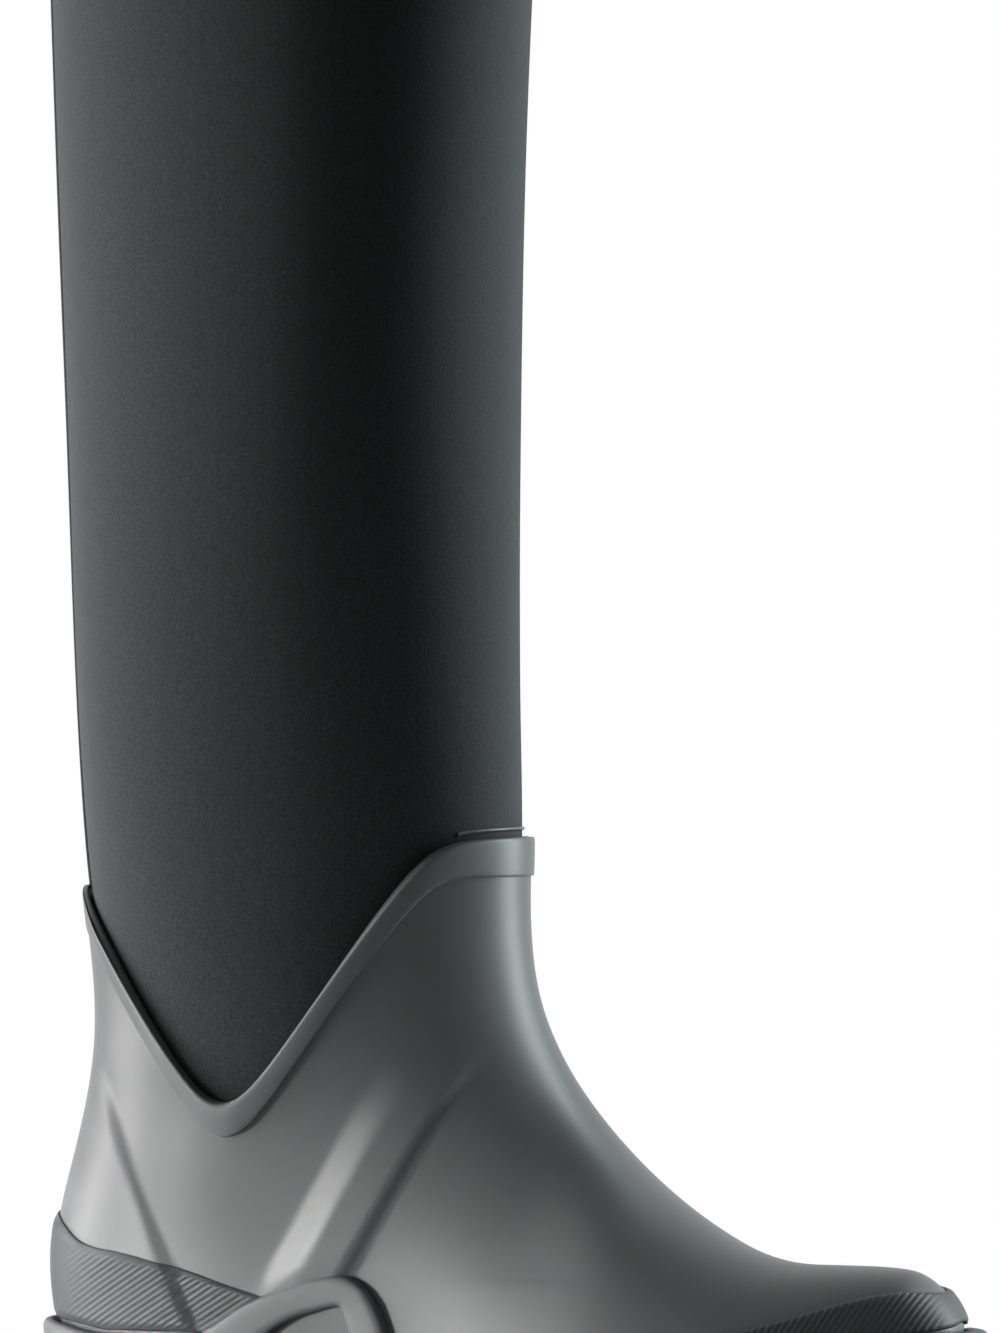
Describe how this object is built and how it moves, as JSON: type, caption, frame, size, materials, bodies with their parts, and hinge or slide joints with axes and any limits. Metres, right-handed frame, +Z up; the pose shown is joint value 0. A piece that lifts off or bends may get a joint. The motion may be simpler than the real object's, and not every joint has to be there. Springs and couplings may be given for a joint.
{
  "type": "tall pull-on yard boot",
  "caption": "Tall black pull-on yard boot with a neoprene shaft and a grey rubber foot, V-cut topline and ribbed toe and heel guards.",
  "frame": {"origin": "centre of the overall box in plan, on the ground under the sole", "axes": "+X towards the toe, +Y towards the inner side of the foot, +Z up the shaft"},
  "size_m": [0.2922, 0.1168, 0.4577],
  "materials": {
    "neoprene": "matt jersey face",
    "lining": "matt knit",
    "binding": "matt woven tape",
    "tape": "matt",
    "rubber": "satin",
    "stiffener": "matt",
    "board": "matt",
    "steel": "bright",
    "foam": "matt foam",
    "sole": "matt",
    "bed": "matt foam",
    "cover": "matt knit"
  },
  "bodies": {
    "boot": {"neoprene_shaft": "neoprene", "neoprene_sock": "neoprene", "bootie_lining": "lining", "collar_binding": "binding", "back_seam_tape": "tape", "rubber_shell": "rubber", "topline_band": "rubber", "toe_guard": "rubber", "heel_guard": "rubber", "lateral_arch_loop": "rubber", "medial_arch_loop": "rubber", "toe_stiffener": "stiffener", "heel_stiffener": "stiffener", "insole_board": "board", "shank": "steel", "midsole": "foam", "heel_filler": "foam", "outsole": "sole"},
    "footbed": {"footbed": "bed", "footbed_cover": "cover"}
  },
  "joints": [
    {"name": "footbed_lift", "type": "hinge", "parent": "boot", "child": "footbed", "pos_m": [0.1295, 0, 0.0345], "axis": [0, 1, 0], "range_deg": [0, 4]}
  ]
}
